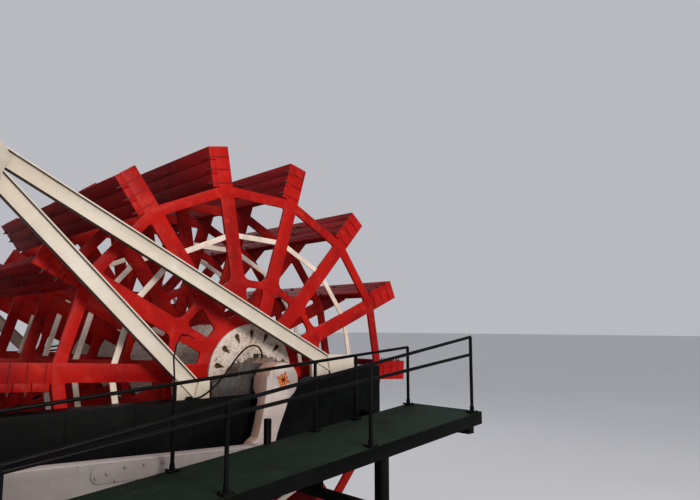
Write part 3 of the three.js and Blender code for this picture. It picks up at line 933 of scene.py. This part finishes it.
@dataclass
class Wheel:
    """The paddle wheel: arm frames, cream rings, boards with their U-bolts, hub discs and shaft."""

    dresser: Dresser
    arms: int = 14
    first_arm: float = math.radians(-10.0)
    frames: int = 5
    tip: float = 3.83
    arm_half: float = 0.131
    arm_thick: float = 0.045
    arm_edge: Edge = Edge(0.007)
    ring_edge: Edge = Edge(0.004)
    board_root: float = 3.155
    board_thick: float = 0.115
    board_reach: float = 3.133
    planks: int = 3
    plank_edge: Edge = Edge(0.007)
    end_facing: float = 0.5
    plank_gap: float = 0.006
    bolt_rows: tuple[float, ...] = (3.22, 3.45, 3.66)
    bolt_radius: float = 0.009
    bolt_bend: float = 0.022
    bolt_thread: float = 0.055
    washer: Head = Head(0.026, 0.006)
    washer_sides: int = 8
    nut: Head = Head(0.018, 0.024)
    shaft_radius: float = 0.17
    shaft_reach: float = 4.03
    shaft_sides: int = 64
    shaft_edge: Edge = Edge(0.008)
    inner_hub_edge: Edge = Edge(0.006)
    hub_edge: Edge = Edge(0.006, angle=20.0)
    boss_bolts: int = 12
    boss_ring: float = 0.35
    boss_face: float = 0.095
    boss_head: Head = Head(0.026, 0.02)

    def spoke(self, index: float) -> Matrix:
        """The turn about the axle that brings a spoke drawn along +Z to its place."""
        turn = self.first_arm + index * 2.0 * math.pi / self.arms
        return Matrix.Translation(AXLE) @ Matrix.Rotation(turn, 4, "Y")

    def build(self) -> None:
        """Makes and dresses every piece of the wheel."""
        paint = self.dresser.palette
        for number in range(1, self.frames + 1):
            # The inner frames take the darker red: painted shade of the wheel's interior, partly dirt.
            finish = paint.wheel if number in (1, self.frames) else paint.inner_wheel
            for name, node, slot, coat, edge in (
                ("wheel_arms", "arm_frame", "wheel_red", finish, self.arm_edge),
                ("wheel_ring", "cream_ring", "ring_cream", paint.ring, self.ring_edge),
            ):
                self.dresser.cad_piece(f"{name}_{number}", f"{node}_{number}", WHEEL_BODY, slot, [coat], edge)
            self.dresser.dress(self.u_bolts(number), paint.bolt, "wheel_red", WHEEL_BODY)
        for index, board in enumerate(self.boards()):
            self.dresser.dress(board, paint.boards, "bucket_red", WHEEL_BODY, [f"bucket_{index + 1:02d}"])
        self.build_shaft()
        for number in range(2, self.frames):
            self.build_disc(str(number), self.inner_hub_edge)
        for side in Side:
            self.build_disc(side.label, self.hub_edge)
            self.build_boss_bolts(side)

    def u_bolt(self) -> Piece:
        """Makes one U-bolt about an arm that stands on the origin, with its nuts on the board's face.

        Returns:
            The U-bolt with its washers and nuts.
        """
        paint = self.dresser.palette
        leg = self.arm_thick / 2 + self.bolt_radius
        near = -self.arm_half - self.board_thick - self.bolt_thread
        far = self.arm_half + self.bolt_radius
        corners = [Vector((x, y, 0)) for x, y in ((near, -leg), (far, -leg), (far, leg), (near, leg))]
        bolt = Bench.bent_rod("u_bolt", corners, self.bolt_radius, self.bolt_bend, HEXAGON)
        bolt.data.materials.append(paint.bolt_red)
        face = -self.arm_half - self.board_thick - HAIR
        parts = [bolt]
        for y in (-leg, leg):
            foot, ledge, top = ((face - rise, y, 0) for rise in (0.0, self.washer.proud, self.nut.proud))
            parts.append(Bench.bar("washer", ledge, foot, self.washer.radius, self.washer_sides))
            parts.append(Bench.bar("nut", top, ledge, self.nut.radius, HEXAGON))
        for part in parts[1:]:
            part.data.materials.append(paint.bolt)
        return Bench.joined("u_bolt", parts)

    def u_bolts(self, number: int) -> Piece:
        """Makes the three U-bolts on each arm of one frame.

        Args:
            number: The frame's number.

        Returns:
            All of them as one piece.
        """
        low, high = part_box(f"arm_frame_{number}")
        middle = (low.y + high.y) / 2
        places = [
            self.spoke(index) @ Matrix.Translation((0, middle, radius))
            for index in range(self.arms)
            for radius in self.bolt_rows
        ]
        return Bench.joined(f"u_bolts_{number}", Bench.copies(self.u_bolt(), places))

    def boards(self) -> list[Piece]:
        """Makes the paddle boards: three planks with open joints on each row of arms, with red ends.

        Returns:
            The boards, in the order of the arms.
        """
        paint = self.dresser.palette
        near = -self.arm_half - HAIR
        depth = (self.tip - self.board_root - (self.planks - 1) * self.plank_gap) / self.planks
        planks = []
        for row in range(self.planks):
            low = self.board_root + row * (depth + self.plank_gap)
            corners = (near - self.board_thick, -self.board_reach, low), (near, self.board_reach, low + depth)
            planks.append(Bench.soften(Bench.block("plank", *corners), self.plank_edge))
        model = Bench.joined("paddle_board", planks)
        Bench.coat(model, (paint.boards, paint.wheel), lambda face: int(abs(face.normal.y) > self.end_facing))
        boards = Bench.copies(model, [self.spoke(index) for index in range(self.arms)])
        for index, board in enumerate(boards):
            board.name = f"paddle_board_{index + 1:02d}"
        return boards

    def build_shaft(self) -> None:
        """Makes and dresses the shaft."""
        ends = [(AXLE.x, y, AXLE.z) for y in (-self.shaft_reach, self.shaft_reach)]
        shaft = Bench.bar("paddle_shaft", *ends, self.shaft_radius, self.shaft_sides)
        Bench.soften(shaft, self.shaft_edge)
        self.dresser.dress(shaft, self.dresser.palette.steel, "shaft_steel", WHEEL_BODY, ["wheel_shaft"])

    def build_disc(self, label: str, edge: Edge) -> None:
        """Makes and dresses one hub disc, called by its frame's number or by its side at an end."""
        names = (f"hub_plate_{label}", f"hub_disc_{label}")
        self.dresser.cad_piece(*names, WHEEL_BODY, "ring_cream", [self.dresser.palette.hub], edge)

    def build_boss_bolts(self, side: Side) -> None:
        """Makes and dresses the bolts of one end disc's boss.

        Args:
            side: The wheel's end.
        """
        angles = [2 * math.pi * (index + 0.5) / self.boss_bolts for index in range(self.boss_bolts)]
        points = [
            side.point(self.boss_ring * math.sin(angle), self.boss_face, self.boss_ring * math.cos(angle))
            for angle in angles
        ]
        bolts = Bench.bolts(f"hub_bolts_{side.label}", points, (0, side.value, 0), self.boss_head)
        self.dresser.dress(bolts, self.dresser.palette.hub, "ring_cream", WHEEL_BODY)


@dataclass(frozen=True)
class StarCoat:
    """One coat of a painted star.

    Its reach is beyond the star's own radius, its waist is the notches' reach as a share of its radius,
    and its lift is how far it stands out.
    """

    name: str
    reach: float
    waist: float
    lift: float


@dataclass
class CrankDrive:
    """A crank with the star painted on its head, and the pitman that drives its pin."""

    dresser: Dresser
    side: Side
    throw: float = 1.219
    port_turn: float = math.radians(197.0)
    quarter: float = math.radians(-90.0)
    outer: float = 0.92
    edge: Edge = Edge(0.012, 3, 20.0)
    flank_facing: float = 0.5
    cover_radius: float = 0.174
    cover: Pair = (0.9055, 0.9215)
    cover_sides: int = 64
    cover_edge: Edge = Edge(0.001)
    star_centre: Pair = (0.053, -0.024)
    star_points: int = 8
    star_radius: float = 0.15
    star_turn: float = math.radians(20.0)
    star_short: float = 0.66
    star_coats: tuple[StarCoat, ...] = (
        StarCoat("star_outline", 0.0, 0.56, 0.0022),
        StarCoat("crank_star", -0.008, 0.53, 0.004),
        StarCoat("star_rays", 0.004, 0.15, 0.0055),
    )
    cap_radius: float = 0.14
    cap_sides: int = 40
    nut_radius: float = 0.085
    cap_levels: tuple[float, ...] = (1.255, 1.285, 1.345)
    cap_edge: Edge = Edge(0.006)
    rod_rise: float = math.radians(2.4)
    rod_edge: Edge = Edge(0.014, 3, 20.0)
    flange_facing: float = 0.7
    strap_run: Pair = (0.26, 2.69)
    strap_rise: Pair = (-0.02, 0.19)
    strap_face: float = 1.25
    strap_thick: float = 0.02
    strap_edge: Edge = Edge(0.005)
    strap_head: Head = Head(0.024, 0.02)
    strap_spots: tuple[Pair, ...] = (
        (2.63, 0.06), (2.5, 0.095), (2.39, 0.01), (2.28, 0.153), (2.04, 0.156), (1.79, 0.155), (1.4, 0.085),
        (1.0, 0.085), (0.6, 0.085),
    )
    tip_steps: int = 8
    tip_flat: float = 0.001

    @property
    def turn(self) -> float:
        """The crank's angle from +Z towards +X."""
        return self.port_turn + (self.quarter if self.side is Side.STARBOARD else 0.0)

    def at(self, along: float, aside: float, outward: float) -> Vector:
        """Finds a point on the crank.

        Args:
            along: Its distance from the axle along the crank.
            aside: Its distance across the crank.
            outward: Its distance outward from the wheel's end face.

        Returns:
            The point.
        """
        out = Vector((math.sin(self.turn), 0, math.cos(self.turn)))
        across = Vector((math.cos(self.turn), 0, -math.sin(self.turn)))
        return self.side.point(0, outward, 0) + out * along + across * aside

    def build(self) -> None:
        """Makes and dresses the crank and the pitman."""
        paint = self.dresser.palette
        label = self.side.label
        self.dresser.cad_piece(
            f"crank_arm_{label}", f"crank_{label}", WHEEL_BODY, "engine_white",
            (paint.engine, paint.engine_side), self.edge, self.flank,
        )
        self.dresser.dress(self.shaft_cap(), paint.engine, "engine_white", WHEEL_BODY)
        for coat, finish in zip(self.star_coats, (paint.star_edge, paint.star, paint.star_edge)):
            self.dresser.dress(self.star(coat), finish, "engine_white", WHEEL_BODY)
        self.dresser.dress(self.pin_cap(), paint.steel, "shaft_steel", WHEEL_BODY)
        body = f"pitman_{label}"
        # The pitman's sides, strap and bolts take the grey painted shade; its top and bottom keep the white.
        self.dresser.cad_piece(
            f"pitman_rod_{label}", body, body, "engine_white", (paint.rod, paint.engine), self.rod_edge,
            self.flange,
        )
        self.dresser.dress(self.strap(), paint.rod, "engine_white", body)
        self.dresser.dress(self.strap_bolts(), paint.rod, "engine_white", body)

    def flank(self, face: Face) -> int:
        """1 for the crank's narrow sides, which take the painted shade and reflection, 0 for its broad ones.
        """
        return int(abs(face.normal.y) < self.flank_facing)

    def flange(self, face: Face) -> int:
        """1 for what looks up or down on the pitman, which keeps the white, 0 for its sides and ends, which
        take the grey painted shade.
        """
        return int(abs(face.normal.z) > self.flange_facing)

    def shaft_cap(self) -> Piece:
        """Makes the painted cover over the shaft's end, a little proud of the crank's face.

        Returns:
            The cover.
        """
        ends = [self.at(0, 0, outward) for outward in self.cover]
        bar = Bench.bar(f"shaft_cap_{self.side.label}", *ends, self.cover_radius, self.cover_sides)
        return Bench.soften(bar, self.cover_edge)

    def star(self, coat: StarCoat) -> Piece:
        """Makes one coat of the star of long and short points on the crank's head.

        Args:
            coat: Its sizes.

        Returns:
            The coat.
        """
        centre = self.at(*self.star_centre, self.outer)
        Bench.clear()
        bpy.ops.mesh.primitive_circle_add(
            vertices=2 * self.star_points,
            radius=self.star_radius + coat.reach,
            fill_type="NGON",
            location=centre,
            rotation=(math.pi / 2, self.star_turn, 0),
        )
        star = Bench.settled(f"{coat.name}_{self.side.label}")
        for step, share in ((2, coat.waist), (4, self.star_short)):
            Bench.pick(star, Element.VERT, lambda corner: corner.index % step == step // 2)
            bpy.ops.transform.resize(
                value=(share, 1.0, share), center_override=tuple(centre), use_proportional_edit=False
            )
            bpy.ops.object.mode_set(mode="OBJECT")
        Bench.edit()
        Bench.extrude((0, self.side.value * coat.lift, 0))
        Bench.face_outward(star)
        return star

    def pin_cap(self) -> Piece:
        """Makes a round cap and its nut on the pin's outer end.

        Returns:
            Both as one piece.
        """
        foot, ledge, top = (self.at(self.throw, 0, level) for level in self.cap_levels)
        cap = Bench.bar("pin_cap", foot, ledge, self.cap_radius, self.cap_sides)
        nut = Bench.bar("pin_nut", ledge, top, self.nut_radius, HEXAGON)
        parts = [Bench.soften(part, self.cap_edge) for part in (cap, nut)]
        return Bench.joined(f"pin_cap_{self.side.label}", parts)

    def rod_frame(self) -> tuple[Vector, Vector, Vector]:
        """Finds how the pitman lies.

        Returns:
            The pin's place, the pitman's forward direction and its upward one.
        """
        pin = self.at(self.throw, 0, 0)
        forward = Vector((-math.cos(self.rod_rise), 0, math.sin(self.rod_rise)))
        up = Vector((math.sin(self.rod_rise), 0, math.cos(self.rod_rise)))
        return pin, forward, up

    def strap(self) -> Piece:
        """Makes the long strap that holds the pin's brasses, on the pitman's outer face.

        Returns:
            The strap.
        """
        pin, forward, up = self.rod_frame()
        start, end = self.strap_run
        low, high = self.strap_rise
        plate = Bench.block("strap", (start, 0, low), (end, self.strap_thick, high))

        def at_tip(edge: bpy.types.MeshEdge) -> bool:
            """Whether an edge crosses the plate's thickness at its forward end."""
            one, two = (plate.data.vertices[index].co for index in edge.vertices)
            return min(one.x, two.x) > end - self.tip_flat and abs(one.y - two.y) > self.strap_thick / 2

        Bench.pick(plate, Element.EDGE, at_tip)
        bpy.ops.mesh.bevel(offset=(high - low) / 2 - self.tip_flat, segments=self.tip_steps, affect="EDGES")
        Bench.soften(plate, self.strap_edge)
        place = Matrix((
            (forward.x, 0, up.x, pin.x),
            (0, self.side.value, 0, self.side.out(self.strap_face)),
            (forward.z, 0, up.z, pin.z),
            (0, 0, 0, 1),
        ))
        piece = Bench.copies(plate, [place])[0]
        piece.name = f"pitman_strap_{self.side.label}"
        Bench.face_outward(piece)
        return piece

    def strap_bolts(self) -> Piece:
        """Makes the bolts through the strap and the rod.

        Returns:
            All of them as one piece.
        """
        pin, forward, up = self.rod_frame()
        points = []
        for along, rise in self.strap_spots:
            point = pin + forward * along + up * rise
            point.y = self.side.out(self.strap_face + self.strap_thick)
            points.append(point)
        name = f"strap_bolts_{self.side.label}"
        return Bench.bolts(name, points, (0, self.side.value, 0), self.strap_head)


@dataclass
class GreaseHose:
    """The grease hose of one side, from its clip on the girder over to the bearing's fitting."""

    dresser: Dresser
    side: Side
    radius: float = 0.014
    round_steps: int = 3
    knot_steps: int = 6
    line: float = 0.4643
    length: float = 1.66
    route: tuple[Pair, ...] = (
        (-1.33, -0.281), (-1.251, -0.281), (-1.174, -0.267), (-1.098, -0.234), (-1.025, -0.189),
        (-0.953, -0.135), (-0.883, -0.074), (-0.814, -0.007), (-0.749, 0.063), (-0.687, 0.135),
        (-0.628, 0.208), (-0.568, 0.278), (-0.508, 0.34), (-0.447, 0.393), (-0.384, 0.433),
        (-0.321, 0.459), (-0.26, 0.469), (-0.204, 0.462), (-0.154, 0.439), (-0.115, 0.399),
        (-0.089, 0.34), (-0.08, 0.262),
    )

    def build(self) -> None:
        label = self.side.label
        y = self.side.out(self.line)
        curve = bpy.data.curves.new(f"hose_{label}", "CURVE")
        curve.dimensions = "3D"
        curve.bevel_depth = self.radius
        curve.bevel_resolution = self.round_steps
        curve.resolution_u = self.knot_steps
        curve.use_fill_caps = True
        spline = curve.splines.new("BEZIER")
        spline.bezier_points.add(len(self.route) - 1)
        for knot, (x, z) in zip(spline.bezier_points, self.route):
            knot.co = (AXLE.x + x, y, AXLE.z + z)
            knot.handle_left_type = "AUTO"
            knot.handle_right_type = "AUTO"
        hose = Bench.linked(f"grease_line_{label}", curve)
        rubber = self.dresser.palette.hose
        self.dresser.dress(hose, rubber, "hose_rubber", FRAME_BODY, [f"grease_hose_{label}"])


@dataclass
class Bearing:
    """The bearing of one side with its cap and grease fitting, their studs and the fitting's lever."""

    dresser: Dresser
    side: Side
    edge: Edge = Edge(0.01)
    fitting_above: float = 0.266
    fitting_forward: float = -0.03
    studs: tuple[Pair, ...] = ((-0.37, 0.188), (0.37, 0.19))
    stud_lines: Pair = (0.22, 0.4)
    stud_radius: float = 0.01
    stud_rise: float = 0.055
    stud_sides: int = 12
    nut: Head = Head(0.022, 0.022)
    lever_line: float = 0.4
    lever: tuple[Pair, ...] = ((-0.06, 0.29), (0.06, 0.29), (0.13, 0.25))
    lever_radius: float = 0.011
    lever_bend: float = 0.04
    lever_sides: int = 8
    knob: Pair = (-0.02, 0.035)
    knob_radius: float = 0.02
    knob_sides: int = 16
    knob_edge: Edge = Edge(0.006)

    def part_of(self, face: Face) -> int:
        """Tells what a face of the bearing belongs to.

        Args:
            face: The face.

        Returns:
            0 for the base, 1 for the cap, 2 for the grease fitting.
        """
        place = face.center - AXLE
        if place.z > self.fitting_above and place.x < self.fitting_forward:
            return 2
        return int(place.z > 0)

    def build(self) -> None:
        """Makes and dresses the bearing, its studs and the lever."""
        paint = self.dresser.palette
        label = self.side.label
        self.dresser.cad_piece(
            f"shaft_bearing_{label}", f"bearing_block_{label}", FRAME_BODY, "bearing_iron",
            (paint.iron, paint.cap, paint.fitting), self.edge, self.part_of,
        )
        studs = []
        for x, level in self.studs:
            for outward in self.stud_lines:
                foot = self.side.point(x, outward, level)
                for name, rise, radius, sides in (
                    ("stud", self.stud_rise, self.stud_radius, self.stud_sides),
                    ("nut", self.nut.proud, self.nut.radius, HEXAGON),
                ):
                    studs.append(Bench.bar(name, foot, foot + Vector((0, 0, rise)), radius, sides))
        piece = Bench.joined(f"bearing_studs_{label}", studs)
        self.dresser.dress(piece, paint.bolt, "bearing_iron", FRAME_BODY)
        self.dresser.dress(self.grease_lever(), paint.fitting, "bearing_iron", FRAME_BODY)

    def grease_lever(self) -> Piece:
        """Makes the lever that runs aft from the grease fitting, with a knob.

        Returns:
            Both as one piece.
        """
        corners = [self.side.point(x, self.lever_line, z) for x, z in self.lever]
        lever = Bench.bent_rod("lever", corners, self.lever_radius, self.lever_bend, self.lever_sides)
        ends = [corners[-1] + Vector((x, 0, 0)) for x in self.knob]
        knob = Bench.soften(Bench.bar("knob", *ends, self.knob_radius, self.knob_sides), self.knob_edge)
        return Bench.joined(f"grease_lever_{self.side.label}", [lever, knob])


@dataclass
class GuardRail:
    """A rail on one guard deck: pipes on stanchions, which stand in sockets on bolted plates.

    A pipe is given by its heights over the deck at its forward and its aft end, the top one first.
    """

    dresser: Dresser
    side: Side
    name: str
    line: float
    pipes: tuple[Pair, ...]
    stations: tuple[float, ...]
    pipe_radius: float = 0.024
    stanchion_radius: float = 0.026
    socket_radius: float = 0.034
    sides: int = 16
    stanchion_foot: float = 0.002
    socket: Pair = (0.02, 0.09)
    foot_half: float = 0.07
    foot_thick: float = 0.022
    foot_edge: Edge = Edge(0.004)
    bolt_half: float = 0.05
    bolt_head: Head = Head(0.011, 0.009)

    def floor(self, x: float) -> float:
        """The level that a stanchion's plate rests on."""
        return deck_top(x + self.foot_half) + HAIR

    def stanchion(self, x: float, y: float, top: float) -> list[Piece]:
        """Makes one stanchion with its socket and plate.

        Args:
            x: Its place along the boat.
            y: Its place across.
            top: The height of its upper end.

        Returns:
            The three parts.
        """
        floor = self.floor(x)
        parts = []
        for name, low, high, radius in (
            ("stanchion", floor + self.stanchion_foot, top, self.stanchion_radius),
            ("socket", floor + self.socket[0], floor + self.socket[1], self.socket_radius),
        ):
            parts.append(Bench.bar(name, (x, y, low), (x, y, high), radius, self.sides))
        half = self.foot_half
        ledge = floor + self.foot_thick
        plate = Bench.block("foot", (x - half, y - half, floor), (x + half, y + half, ledge))
        return [*parts, Bench.soften(plate, self.foot_edge)]

    def build(self) -> None:
        """Makes and dresses the rail."""
        y = self.side.out(self.line)
        spots = [AXLE.x + x for x in self.stations]
        first, last = spots[0], spots[-1]
        parts = []
        for fore, aft in self.pipes:
            ends = [(x, y, deck_top(x) + height) for x, height in ((first, fore), (last, aft))]
            parts.append(Bench.bar("rail", *ends, self.pipe_radius, self.sides))
        fore, aft = self.pipes[0]
        for x in spots:
            height = fore + (aft - fore) * (x - first) / (last - first)
            parts += self.stanchion(x, y, deck_top(x) + height)
        offsets = (-self.bolt_half, self.bolt_half)
        heads = [
            Vector((x + aft, y + aside, self.floor(x) + self.foot_thick))
            for x in spots
            for aft in offsets
            for aside in offsets
        ]
        parts.append(Bench.bolts("foot_bolts", heads, (0, 0, 1), self.bolt_head))
        piece = Bench.joined(f"rail_pipes_{self.name}_{self.side.label}", parts)
        Bench.only(piece)
        bpy.ops.object.shade_smooth_by_angle(angle=Bench.SMOOTH)
        node = f"rail_{self.name}_{self.side.label}"
        self.dresser.dress(piece, self.dresser.palette.rail, "rail_black", FRAME_BODY, [node])


@dataclass
class SternSide:
    """What carries the wheel on one side: girder, bearing, post, braces, deck and rails."""

    dresser: Dresser
    side: Side
    girder_edge: Edge = Edge(0.008)
    post_edge: Edge = Edge(0.006)
    brace_edge: Edge = Edge(0.004)
    downward: float = -0.4
    deck_edge: Edge = Edge(0.006)
    deck_skin: float = 0.02
    inner_line: float = 1.53
    inner_pipes: tuple[Pair, ...] = ((1.115, 0.985),)
    inner_stations: tuple[float, ...] = (-4.4, -2.145, 0.15, 1.0, 2.25)
    outer_line: float = 2.87
    outer_pipes: tuple[Pair, ...] = ((0.85, 1.18), (0.795, 0.905))
    outer_stations: tuple[float, ...] = (-4.4, -2.2, 0.0, 2.25)
    neck_line: float = 1.49
    neck: tuple[Pair, ...] = (
        (-2.125, 0.02), (-2.155, 0.4), (-2.12, 0.592), (-2.038, 0.77), (-1.968, 0.747), (-1.88, 0.7),
    )
    neck_radius: float = 0.011
    neck_bend: float = 0.05
    neck_sides: int = 12
    neck_smooth: float = math.radians(50.0)
    seams: int = 7
    first_seam: float = 0.6
    seam_pitch: float = 0.9
    seam_face: float = 0.5
    seam_half: float = 0.012
    seam_proud: float = 0.006
    seam_edge: Edge = Edge(0.003)
    seam_span: Pair = (-0.72, 0.68)
    aft_seam_span: Pair = (-0.6, 0.72)
    aft_seams_from: float = 5.0

    def build(self) -> None:
        """Makes and dresses every piece of this side."""
        paint = self.dresser.palette
        # Braces take the cream, with painted shade on their downward faces.
        shaded = [paint.brace, paint.under]
        for name, node, slot, finishes, edge, choice in (
            ("stern_girder", "girder", "hull_black", [paint.hull], self.girder_edge, None),
            # The post takes the darker cream: painted shadow of the upper deck.
            ("stern_post", "post", "brace_cream", [paint.post], self.post_edge, None),
            ("brace_long", "long_brace", "brace_cream", shaded, self.brace_edge, self.below),
            ("brace_short", "short_brace", "brace_cream", shaded, self.brace_edge, self.below),
            ("brace_shoe_long", "long_shoe", "brace_cream", [paint.brace], self.brace_edge, None),
            ("brace_shoe_short", "short_shoe", "brace_cream", [paint.brace], self.brace_edge, None),
        ):
            self.cad_piece(name, node, slot, finishes, edge, choice)
        Bearing(self.dresser, self.side).build()
        coats = [paint.deck, paint.hull]
        self.cad_piece("deck", "guard_deck", "deck_green", coats, self.deck_edge, self.off_top)
        for rail in (
            ("inner", self.inner_line, self.inner_pipes, self.inner_stations),
            ("outer", self.outer_line, self.outer_pipes, self.outer_stations),
        ):
            GuardRail(self.dresser, self.side, *rail).build()
        self.build_swan_neck()
        self.build_girder_seams()

    def cad_piece(
        self, name: str, node: str, slot: str, finishes: Sequence[Material], edge: Edge, choice: Choice | None
    ) -> None:
        """Dresses the copy of a CAD node of this side; both names come without the side."""
        names = (f"{name}_{self.side.label}", f"{node}_{self.side.label}")
        self.dresser.cad_piece(*names, FRAME_BODY, slot, finishes, edge, choice)

    def below(self, face: Face) -> int:
        """1 for a brace's face that looks down, which takes the painted shade, 0 for the others."""
        return int(face.normal.z < self.downward)

    def off_top(self, face: Face) -> int:
        """0 for a face of the deck's green top, 1 for the black others."""
        level = abs(face.center.z - deck_top(face.center.x)) < self.deck_skin
        return int(not (level and face.normal.z > Bench.FACING))

    def build_swan_neck(self) -> None:
        """Makes and dresses the thin rod with a bent top that stands on the inner rail's stanchion."""
        corners = [self.side.point(x, self.neck_line, z) for x, z in self.neck]
        name = f"swan_neck_{self.side.label}"
        rod = Bench.bent_rod(name, corners, self.neck_radius, self.neck_bend, self.neck_sides)
        Bench.only(rod)
        bpy.ops.object.shade_smooth_by_angle(angle=self.neck_smooth)
        self.dresser.dress(rod, self.dresser.palette.rail, "rail_black", FRAME_BODY)

    def build_girder_seams(self) -> None:
        """Makes and dresses the welded seams down the girder's outer plate."""
        near, far = sorted(self.side.out(self.seam_face + proud) for proud in (0.0, self.seam_proud))
        strips = []
        for index in range(self.seams):
            x = self.first_seam + index * self.seam_pitch
            low, high = self.seam_span if x < self.aft_seams_from else self.aft_seam_span
            strip = Bench.block("seam", (x - self.seam_half, near, low), (x + self.seam_half, far, high))
            strips.append(Bench.soften(strip, self.seam_edge))
        piece = Bench.joined(f"girder_seams_{self.side.label}", strips)
        self.dresser.dress(piece, self.dresser.palette.hull, "hull_black", FRAME_BODY)


@dataclass
class CrossTies:
    """The transom and the beam that ties the posts."""

    dresser: Dresser
    transom_edge: Edge = Edge(0.008)
    tie_edge: Edge = Edge(0.006)

    def build(self) -> None:
        """Makes and dresses both."""
        paint = self.dresser.palette
        for name, node, slot, finish, edge in (
            ("transom_beam", "transom", "hull_black", paint.hull, self.transom_edge),
            ("post_tie", "tie_beam", "brace_cream", paint.brace, self.tie_edge),
        ):
            self.dresser.cad_piece(name, node, FRAME_BODY, slot, [finish], edge)


@dataclass(frozen=True)
class Lamp:
    """A soft square light: its place, size, power and colour."""

    name: str
    place: Point
    size: float
    power: float
    colour: Colour

    def hang(self) -> None:
        """Hangs the light so that it faces the wheel."""
        data = bpy.data.lights.new(self.name, "AREA")
        data.size = self.size
        data.energy = self.power
        data.color = self.colour
        lamp = Bench.linked(self.name, data)
        lamp.location = self.place
        lamp.rotation_euler = (AXLE - Vector(self.place)).to_track_quat("-Z", "Y").to_euler()


@dataclass
class Studio:
    """Camera, floor and soft lights."""

    palette: Palette
    eye: Point = (-1.289, -11.925, 1.783)
    pitch: float = math.radians(97.058)
    heading: float = math.radians(-42.919)
    lens: float = 31.49
    sensor: float = 36.0
    sight: float = 2000.0
    floor_level: float = -2.86
    floor_size: float = 600.0
    sky: Colour = (0.86, 0.88, 0.94)
    sky_strength: float = 0.56
    lamps: tuple[Lamp, ...] = (
        Lamp("key", (3.0, -22.0, 9.0), 6.0, 3600.0, (1.0, 0.93, 0.86)),
        Lamp("back", (12.0, 16.0, 12.0), 12.0, 1000.0, (0.95, 0.95, 1.0)),
    )

    def camera(self) -> None:
        """Sets up the camera at the photograph's place."""
        data = bpy.data.cameras.new("photo_camera")
        data.lens = self.lens
        data.sensor_width = self.sensor
        data.clip_end = self.sight
        camera = Bench.linked("photo_camera", data)
        camera.location = self.eye
        camera.rotation_euler = (self.pitch, 0.0, self.heading)
        bpy.context.scene.camera = camera

    def stage(self) -> None:
        """Makes the floor, the pale surroundings and the lights."""
        Bench.clear()
        bpy.ops.mesh.primitive_plane_add(size=self.floor_size, location=(AXLE.x, AXLE.y, self.floor_level))
        floor = Bench.settled("studio_floor")
        floor.data.materials.append(self.palette.floor)
        world = bpy.data.worlds.new("studio_world")
        world.use_nodes = True
        background = world.node_tree.nodes["Background"]
        background.inputs["Color"].default_value = (*self.sky, 1.0)
        background.inputs["Strength"].default_value = self.sky_strength
        bpy.context.scene.world = world
        bpy.context.scene.view_settings.view_transform = "Standard"
        for lamp in self.lamps:
            lamp.hang()


def main() -> None:
    """Builds the scene: camera first, then the hoses, the stage and each sub-assembly."""
    logging.basicConfig(level=logging.INFO, format="%(name)s: %(message)s")
    palette = Palette()
    dresser = Dresser(palette)
    studio = Studio(palette)
    studio.camera()
    for side in Side:
        GreaseHose(dresser, side).build()
    studio.stage()
    for side in Side:
        SternSide(dresser, side).build()
    CrossTies(dresser).build()
    for side in Side:
        CrankDrive(dresser, side).build()
    Wheel(dresser).build()


if __name__ == "__main__":
    main()
